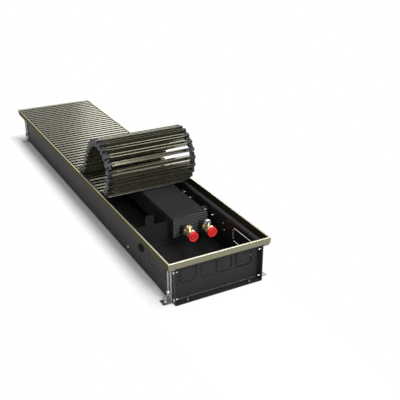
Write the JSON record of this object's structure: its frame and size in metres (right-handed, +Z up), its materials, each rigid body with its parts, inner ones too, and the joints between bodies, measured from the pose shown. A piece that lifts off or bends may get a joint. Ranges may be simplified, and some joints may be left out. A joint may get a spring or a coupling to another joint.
{
  "type": "trench convector heater",
  "caption": "Floor trench convector: folded trough with finned heat exchanger, bronze frame and a roll-up slatted grille folded back over the pipe connections.",
  "frame": {"origin": "on the floor, in the middle of the trough", "axes": "+X along the trough towards the pipe connections, +Y towards the side where the heat exchanger stands, +Z up"},
  "size_m": [1.246, 0.2752, 0.2558],
  "materials": {
    "sheet_dark": "matt powder coat",
    "rim_bronze": "bronze anodised, satin",
    "slat_bronze": "bronze anodised, satin",
    "rubber_black": "matt",
    "link_black": "matt",
    "fin_black": "matt paint",
    "tube_black": "painted black with the fins",
    "brass_fitting": "bare, satin",
    "cap_red": "moulded",
    "vent_chrome": "knurled",
    "galvanised": "galvanised",
    "zinc_screws": "zinc plated"
  },
  "bodies": {
    "case": {"trough": "sheet_dark", "end_wall_near": "sheet_dark", "end_wall_far": "sheet_dark", "rim_left": "rim_bronze", "rim_right": "rim_bronze", "rim_near": "rim_bronze", "rim_far": "rim_bronze", "rubber_strip_left": "rubber_black", "rubber_strip_right": "rubber_black", "exchanger_fins": "fin_black", "exchanger_tubes": "tube_black", "exchanger_end_plate_near": "fin_black", "exchanger_end_plate_far": "fin_black", "support_plate_near": "sheet_dark", "support_plate_middle": "sheet_dark", "support_plate_far": "sheet_dark", "exchanger_wall_clips": "sheet_dark", "valve_body_flow": "brass_fitting", "valve_body_return": "brass_fitting", "union_nut_flow": "brass_fitting", "union_nut_return": "brass_fitting", "foot_clamp_bolts": "zinc_screws", "foot_washers": "zinc_screws", "foot_nuts": "zinc_screws", "cable_grommet": "rubber_black", "end_wall_screws": "zinc_screws", "support_screws": "zinc_screws"},
    "grille_laid": {"grille_laid_slats": "slat_bronze", "grille_laid_links": "link_black"},
    "slat_01": {"grille_slat_01": "slat_bronze"},
    "slat_02": {"grille_slat_02": "slat_bronze"},
    "slat_03": {"grille_slat_03": "slat_bronze"},
    "slat_04": {"grille_slat_04": "slat_bronze"},
    "slat_05": {"grille_slat_05": "slat_bronze"},
    "slat_06": {"grille_slat_06": "slat_bronze"},
    "slat_07": {"grille_slat_07": "slat_bronze"},
    "slat_08": {"grille_slat_08": "slat_bronze"},
    "slat_09": {"grille_slat_09": "slat_bronze"},
    "slat_10": {"grille_slat_10": "slat_bronze"},
    "slat_11": {"grille_slat_11": "slat_bronze"},
    "slat_12": {"grille_slat_12": "slat_bronze"},
    "slat_13": {"grille_slat_13": "slat_bronze"},
    "slat_14": {"grille_slat_14": "slat_bronze"},
    "slat_15": {"grille_slat_15": "slat_bronze"},
    "slat_16": {"grille_slat_16": "slat_bronze"},
    "slat_17": {"grille_slat_17": "slat_bronze"},
    "slat_18": {"grille_slat_18": "slat_bronze"},
    "slat_19": {"grille_slat_19": "slat_bronze"},
    "slat_20": {"grille_slat_20": "slat_bronze"},
    "slat_21": {"grille_slat_21": "slat_bronze"},
    "foot_near_left": {"foot_near_left": "galvanised"},
    "foot_near_right": {"foot_near_right": "galvanised"},
    "foot_far_left": {"foot_far_left": "galvanised"},
    "foot_far_right": {"foot_far_right": "galvanised"},
    "cap_flow": {"protective_cap_flow": "cap_red"},
    "cap_return": {"protective_cap_return": "cap_red"},
    "dust_cap": {"valve_dust_cap": "brass_fitting"},
    "air_vent": {"air_vent_knob": "vent_chrome"}
  },
  "joints": [
    {"name": "grille_lift", "type": "slide", "parent": "case", "child": "grille_laid", "axis": [0, 0, 1], "range_m": [0, 0.12]},
    {"name": "fold_01", "type": "hinge", "parent": "grille_laid", "child": "slat_01", "pos_m": [0.2, 0, 0.105], "axis": [0, 1, 0], "range_deg": [0, 23]},
    {"name": "fold_02", "type": "hinge", "parent": "slat_01", "child": "slat_02", "pos_m": [0.21841, 0, 0.11281], "axis": [0, 1, 0], "range_deg": [0, 17]},
    {"name": "fold_03", "type": "hinge", "parent": "slat_02", "child": "slat_03", "pos_m": [0.23373, 0, 0.12567], "axis": [0, 1, 0], "range_deg": [0, 13]},
    {"name": "fold_04", "type": "hinge", "parent": "slat_03", "child": "slat_04", "pos_m": [0.24577, 0, 0.14164], "axis": [0, 1, 0], "range_deg": [0, 12]},
    {"name": "fold_05", "type": "hinge", "parent": "slat_04", "child": "slat_05", "pos_m": [0.25422, 0, 0.15977], "axis": [0, 1, 0], "range_deg": [0, 15]},
    {"name": "fold_06", "type": "hinge", "parent": "slat_05", "child": "slat_06", "pos_m": [0.25769, 0, 0.17947], "axis": [0, 1, 0], "range_deg": [0, 18]},
    {"name": "fold_07", "type": "hinge", "parent": "slat_06", "child": "slat_07", "pos_m": [0.25491, 0, 0.19927], "axis": [0, 1, 0], "range_deg": [0, 19]},
    {"name": "fold_08", "type": "hinge", "parent": "slat_07", "child": "slat_08", "pos_m": [0.24583, 0, 0.21709], "axis": [0, 1, 0], "range_deg": [0, 17]},
    {"name": "fold_09", "type": "hinge", "parent": "slat_08", "child": "slat_09", "pos_m": [0.23194, 0, 0.23148], "axis": [0, 1, 0], "range_deg": [0, 15]},
    {"name": "fold_10", "type": "hinge", "parent": "slat_09", "child": "slat_10", "pos_m": [0.21479, 0, 0.24178], "axis": [0, 1, 0], "range_deg": [0, 16]},
    {"name": "fold_11", "type": "hinge", "parent": "slat_10", "child": "slat_11", "pos_m": [0.19547, 0, 0.24696], "axis": [0, 1, 0], "range_deg": [0, 17]},
    {"name": "fold_12", "type": "hinge", "parent": "slat_11", "child": "slat_12", "pos_m": [0.17549, 0, 0.24626], "axis": [0, 1, 0], "range_deg": [0, 16]},
    {"name": "fold_13", "type": "hinge", "parent": "slat_12", "child": "slat_13", "pos_m": [0.15646, 0, 0.24008], "axis": [0, 1, 0], "range_deg": [0, 14]},
    {"name": "fold_14", "type": "hinge", "parent": "slat_13", "child": "slat_14", "pos_m": [0.1395, 0, 0.22948], "axis": [0, 1, 0], "range_deg": [0, 10]},
    {"name": "fold_15", "type": "hinge", "parent": "slat_14", "child": "slat_15", "pos_m": [0.12464, 0, 0.2161], "axis": [0, 1, 0], "range_deg": [0, 7]},
    {"name": "fold_16", "type": "hinge", "parent": "slat_15", "child": "slat_16", "pos_m": [0.11152, 0, 0.201], "axis": [0, 1, 0], "range_deg": [0, 5]},
    {"name": "fold_17", "type": "hinge", "parent": "slat_16", "child": "slat_17", "pos_m": [0.09977, 0, 0.18482], "axis": [0, 1, 0], "range_deg": [0, 4]},
    {"name": "fold_18", "type": "hinge", "parent": "slat_17", "child": "slat_18", "pos_m": [0.08917, 0, 0.16786], "axis": [0, 1, 0], "range_deg": [0, 1]},
    {"name": "fold_19", "type": "hinge", "parent": "slat_18", "child": "slat_19", "pos_m": [0.07887, 0, 0.15072], "axis": [0, 1, 0], "range_deg": [-8.01, 0]},
    {"name": "fold_20", "type": "hinge", "parent": "slat_19", "child": "slat_20", "pos_m": [0.06628, 0, 0.13517], "axis": [0, 1, 0], "range_deg": [-14.77, 0]},
    {"name": "fold_21", "type": "hinge", "parent": "slat_20", "child": "slat_21", "pos_m": [0.05015, 0, 0.12335], "axis": [0, 1, 0], "range_deg": [-36.25, 0]},
    {"name": "foot_lower_near_left", "type": "slide", "parent": "case", "child": "foot_near_left", "axis": [0, 0, -1], "range_m": [0, 0.04]},
    {"name": "foot_lower_near_right", "type": "slide", "parent": "case", "child": "foot_near_right", "axis": [0, 0, -1], "range_m": [0, 0.04]},
    {"name": "foot_lower_far_left", "type": "slide", "parent": "case", "child": "foot_far_left", "axis": [0, 0, -1], "range_m": [0, 0.04]},
    {"name": "foot_lower_far_right", "type": "slide", "parent": "case", "child": "foot_far_right", "axis": [0, 0, -1], "range_m": [0, 0.04]},
    {"name": "cap_flow_pull", "type": "slide", "parent": "case", "child": "cap_flow", "axis": [1, 0, 0], "range_m": [0, 0.04]},
    {"name": "cap_return_pull", "type": "slide", "parent": "case", "child": "cap_return", "axis": [1, 0, 0], "range_m": [0, 0.04]},
    {"name": "dust_cap_lift", "type": "slide", "parent": "case", "child": "dust_cap", "axis": [0, 0, 1], "range_m": [0, 0.03]},
    {"name": "air_vent_turn", "type": "hinge", "parent": "case", "child": "air_vent", "pos_m": [0.4153, 0.0806, 0.0545], "axis": [0, 0, 1], "range_deg": [0, 180]}
  ],
  "couplings": [
    {"joint": "fold_19", "follows": "fold_01", "ratio": -0.34783},
    {"joint": "fold_20", "follows": "fold_01", "ratio": -0.64168},
    {"joint": "fold_21", "follows": "fold_01", "ratio": -1.5757}
  ]
}
